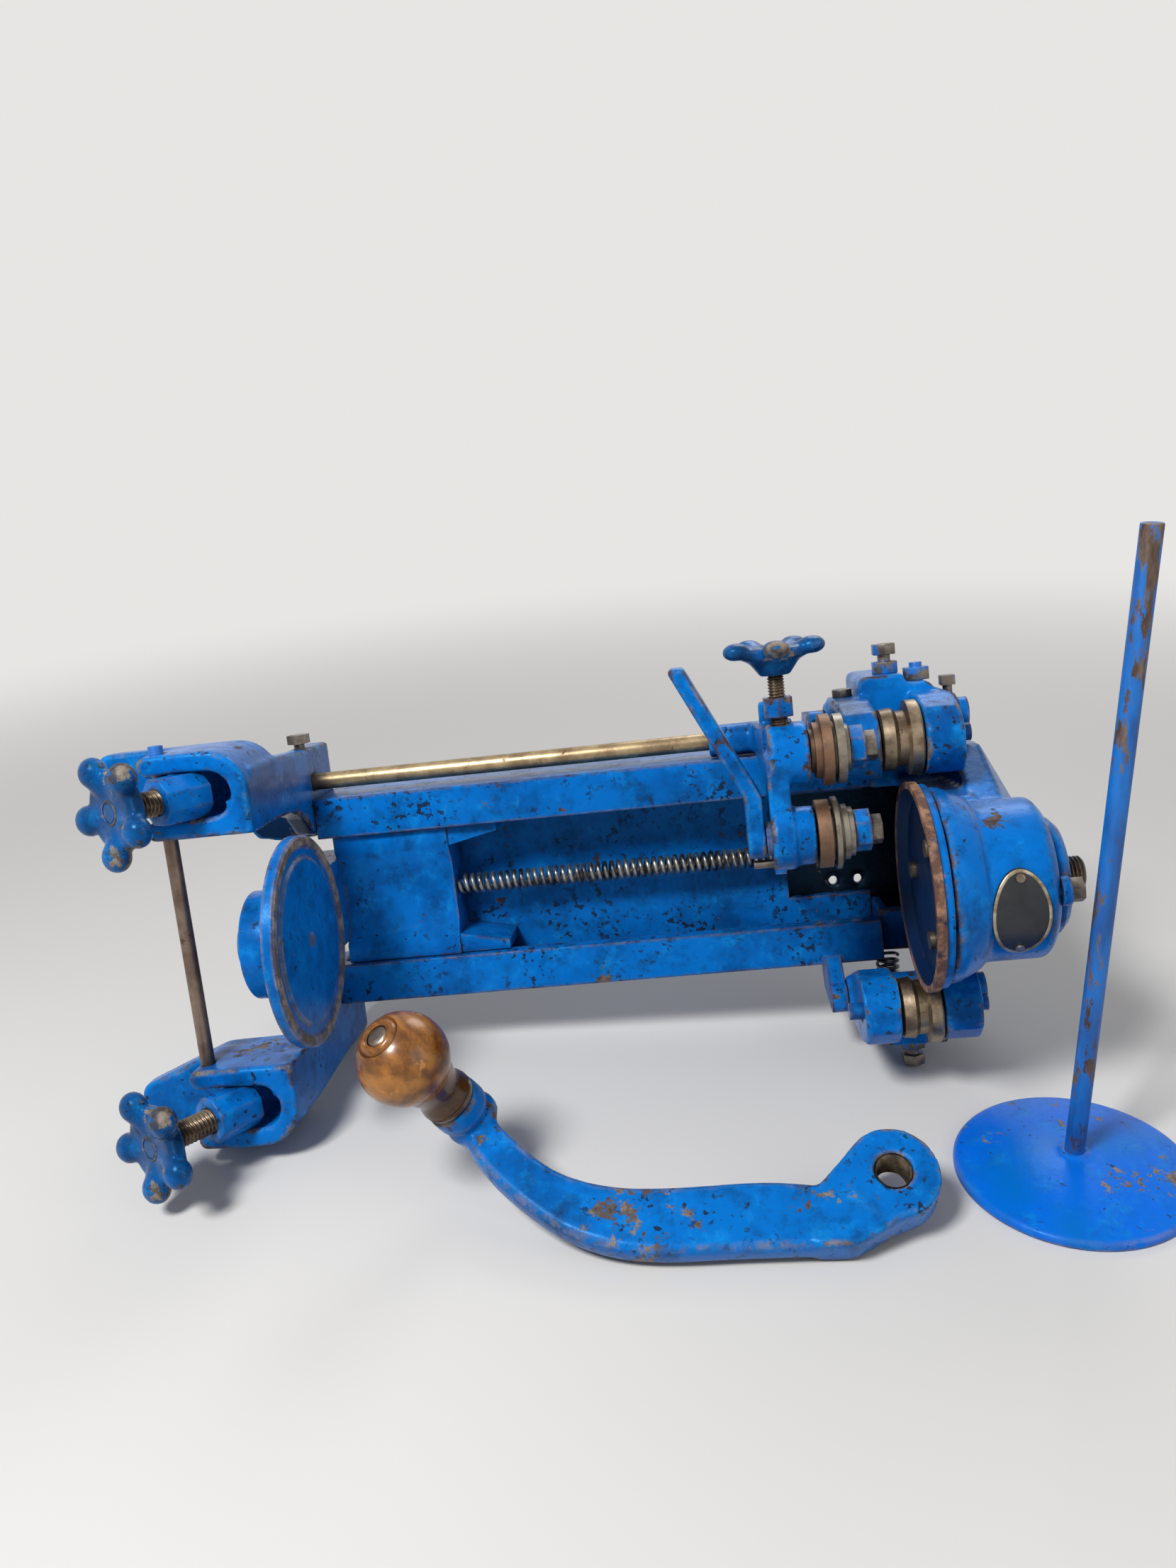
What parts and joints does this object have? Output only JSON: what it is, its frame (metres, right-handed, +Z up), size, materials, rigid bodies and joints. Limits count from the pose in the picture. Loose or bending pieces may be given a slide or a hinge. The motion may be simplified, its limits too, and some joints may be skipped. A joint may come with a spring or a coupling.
{
  "type": "hand-cranked can seamer",
  "caption": "Hand-cranked can seamer lying on its side: railed column, spring carriage with can disc, chuck, seaming rolls, screw clamps, loose crank with wooden knob and loose plate on a rod.",
  "frame": {"origin": "centre of the bounding box's footprint on the bench", "axes": "+X along the column towards the head, +Y away from the open side, +Z up"},
  "size_m": [0.5306, 0.2548, 0.2959],
  "materials": {
    "blue_paint": "worn cobalt blue paint with rust and bare patches",
    "bare_steel": "worn bare steel",
    "brown_steel": "browned steel",
    "dark_plate": "dark worn plate with a pale border",
    "wood": "varnished turned wood"
  },
  "bodies": {
    "frame": {"column": "blue_paint", "upper_foot": "blue_paint", "lower_foot": "blue_paint", "head_casting": "blue_paint", "head_bolts": "bare_steel", "bearing_cap": "blue_paint", "cap_bolts": "bare_steel", "nameplate": "dark_plate", "nameplate_rivets": "bare_steel", "swing_rod": "brown_steel", "rod_set_screw": "bare_steel", "cross_rod": "brown_steel", "upper_clamp_nut": "bare_steel", "lower_clamp_nut": "bare_steel", "upper_pivot_pin": "bare_steel", "lower_pivot_pin": "bare_steel", "lug_screws": "bare_steel", "spring_post": "blue_paint", "main_spring": "bare_steel", "upper_return_spring": "bare_steel", "lower_return_spring": "bare_steel"},
    "chuck": {"spindle": "bare_steel", "chuck": "blue_paint", "chuck_screws": "bare_steel"},
    "carriage": {"carriage": "blue_paint"},
    "can_disc": {"can_disc": "blue_paint", "disc_pivot": "bare_steel"},
    "roll_arm": {"roll_arm": "blue_paint", "upper_stud": "bare_steel", "lower_stud": "bare_steel", "stud_nuts": "bare_steel", "lever_washer": "bare_steel", "stop_pin": "bare_steel", "arm_nut": "bare_steel"},
    "upper_flange_roll": {"upper_flange_roll": "brown_steel"},
    "lower_flange_roll": {"lower_flange_roll": "brown_steel"},
    "bent_lever": {"bent_lever": "blue_paint"},
    "arm_screw": {"arm_screw": "bare_steel"},
    "arm_knob": {"arm_knob": "blue_paint"},
    "upper_yoke": {"upper_yoke": "blue_paint", "upper_roll_axle": "bare_steel", "upper_yoke_bolts": "bare_steel"},
    "upper_seaming_roll": {"upper_seaming_roll": "brown_steel"},
    "lower_yoke": {"lower_yoke": "blue_paint", "lower_roll_axle": "bare_steel", "lower_yoke_bolts": "bare_steel"},
    "lower_seaming_roll": {"lower_seaming_roll": "brown_steel"},
    "upper_clamp_screw": {"upper_clamp_screw": "bare_steel"},
    "upper_clamp_knob": {"upper_clamp_knob": "blue_paint"},
    "lower_clamp_screw": {"lower_clamp_screw": "bare_steel"},
    "lower_clamp_knob": {"lower_clamp_knob": "blue_paint"},
    "crank": {"crank_arm": "blue_paint", "handle_pin": "bare_steel"},
    "crank_knob": {"crank_knob": "wood"},
    "loose_plate": {"loose_plate": "blue_paint", "plate_rod": "blue_paint"}
  },
  "joints": [
    {"name": "chuck_spin", "type": "hinge", "parent": "frame", "child": "chuck", "pos_m": [0.14968, -0.01137, 0.12324], "axis": [0.999, 0, 0.0455], "continuous": true},
    {"name": "carriage_slide", "type": "slide", "parent": "frame", "child": "carriage", "axis": [0.999, 0, 0.0455], "range_m": [0, 0.055], "deforming": ["main_spring"]},
    {"name": "disc_spin", "type": "hinge", "parent": "carriage", "child": "can_disc", "pos_m": [-0.15261, -0.01137, 0.10946], "axis": [0.999, 0, 0.0455], "continuous": true},
    {"name": "arm_swing", "type": "hinge", "parent": "frame", "child": "roll_arm", "pos_m": [0.0874, 0.08502, 0.17182], "axis": [-0.999, 0, -0.0455], "range_deg": [0, 70]},
    {"name": "upper_flange_spin", "type": "hinge", "parent": "roll_arm", "child": "upper_flange_roll", "pos_m": [0.11144, -0.00777, 0.19348], "axis": [0.999, 0, 0.0455], "continuous": true},
    {"name": "lower_flange_spin", "type": "hinge", "parent": "roll_arm", "child": "lower_flange_roll", "pos_m": [0.1132, -0.01517, 0.15492], "axis": [0.999, 0, 0.0455], "continuous": true},
    {"name": "lever_turn", "type": "hinge", "parent": "roll_arm", "child": "bent_lever", "pos_m": [0.07624, -0.01517, 0.15323], "axis": [0.999, 0, 0.0455], "range_deg": [0, 80]},
    {"name": "arm_screw_feed", "type": "slide", "parent": "roll_arm", "child": "arm_screw", "axis": [-0.0447, 0.1882, 0.9811], "range_m": [0, 0.00564]},
    {"name": "arm_knob_turn", "type": "hinge", "parent": "arm_screw", "child": "arm_knob", "pos_m": [0.08732, -0.00087, 0.22846], "axis": [-0.0447, 0.1882, 0.9811], "range_deg": [0, 1440]},
    {"name": "upper_yoke_swing", "type": "hinge", "parent": "frame", "child": "upper_yoke", "pos_m": [0.1469, 0.06345, 0.18418], "axis": [0.999, 0, 0.0455], "range_deg": [-3, 5], "stiffness_Nm_per_rad": 13, "deforming": ["upper_return_spring"]},
    {"name": "upper_roll_spin", "type": "hinge", "parent": "upper_yoke", "child": "upper_seaming_roll", "pos_m": [0.14682, 0.02509, 0.18593], "axis": [0.999, 0, 0.0455], "continuous": true},
    {"name": "lower_yoke_swing", "type": "hinge", "parent": "frame", "child": "lower_yoke", "pos_m": [0.15352, 0.03559, 0.03898], "axis": [-0.999, 0, -0.0455], "range_deg": [-3, 5], "stiffness_Nm_per_rad": 13, "deforming": ["lower_return_spring"]},
    {"name": "lower_roll_spin", "type": "hinge", "parent": "lower_yoke", "child": "lower_seaming_roll", "pos_m": [0.15295, -0.0007, 0.05152], "axis": [0.999, 0, 0.0455], "continuous": true},
    {"name": "upper_clamp_feed", "type": "slide", "parent": "frame", "child": "upper_clamp_screw", "axis": [-0.5657, -0.8142, 0.1304], "range_m": [0, 0.01482]},
    {"name": "upper_clamp_turn", "type": "hinge", "parent": "upper_clamp_screw", "child": "upper_clamp_knob", "pos_m": [-0.21194, -0.03058, 0.19198], "axis": [-0.5657, -0.8142, 0.1304], "range_deg": [0, 2520]},
    {"name": "lower_clamp_feed", "type": "slide", "parent": "frame", "child": "lower_clamp_screw", "axis": [-0.5657, -0.8142, 0.1304], "range_m": [-0.00635, 0.00847]},
    {"name": "lower_clamp_turn", "type": "hinge", "parent": "lower_clamp_screw", "child": "lower_clamp_knob", "pos_m": [-0.20988, -0.06803, 0.03617], "axis": [-0.5657, -0.8142, 0.1304], "range_deg": [-1080, 1440]},
    {"name": "crank_lift", "type": "slide", "parent": "frame", "child": "crank", "axis": [0, 0, 1], "range_m": [0, 0.1]},
    {"name": "crank_knob_spin", "type": "hinge", "parent": "crank", "child": "crank_knob", "pos_m": [-0.08716, -0.08005, 0.07996], "axis": [-0.4225, -0.3462, 0.8376], "continuous": true},
    {"name": "plate_lift", "type": "slide", "parent": "frame", "child": "loose_plate", "axis": [0, 0, 1], "range_m": [0, 0.03]}
  ],
  "couplings": [
    {"joint": "arm_knob_turn", "follows": "arm_screw_feed", "rad_per_m": 4453},
    {"joint": "upper_clamp_turn", "follows": "upper_clamp_feed", "rad_per_m": 2968},
    {"joint": "lower_clamp_turn", "follows": "lower_clamp_feed", "rad_per_m": 2968}
  ]
}
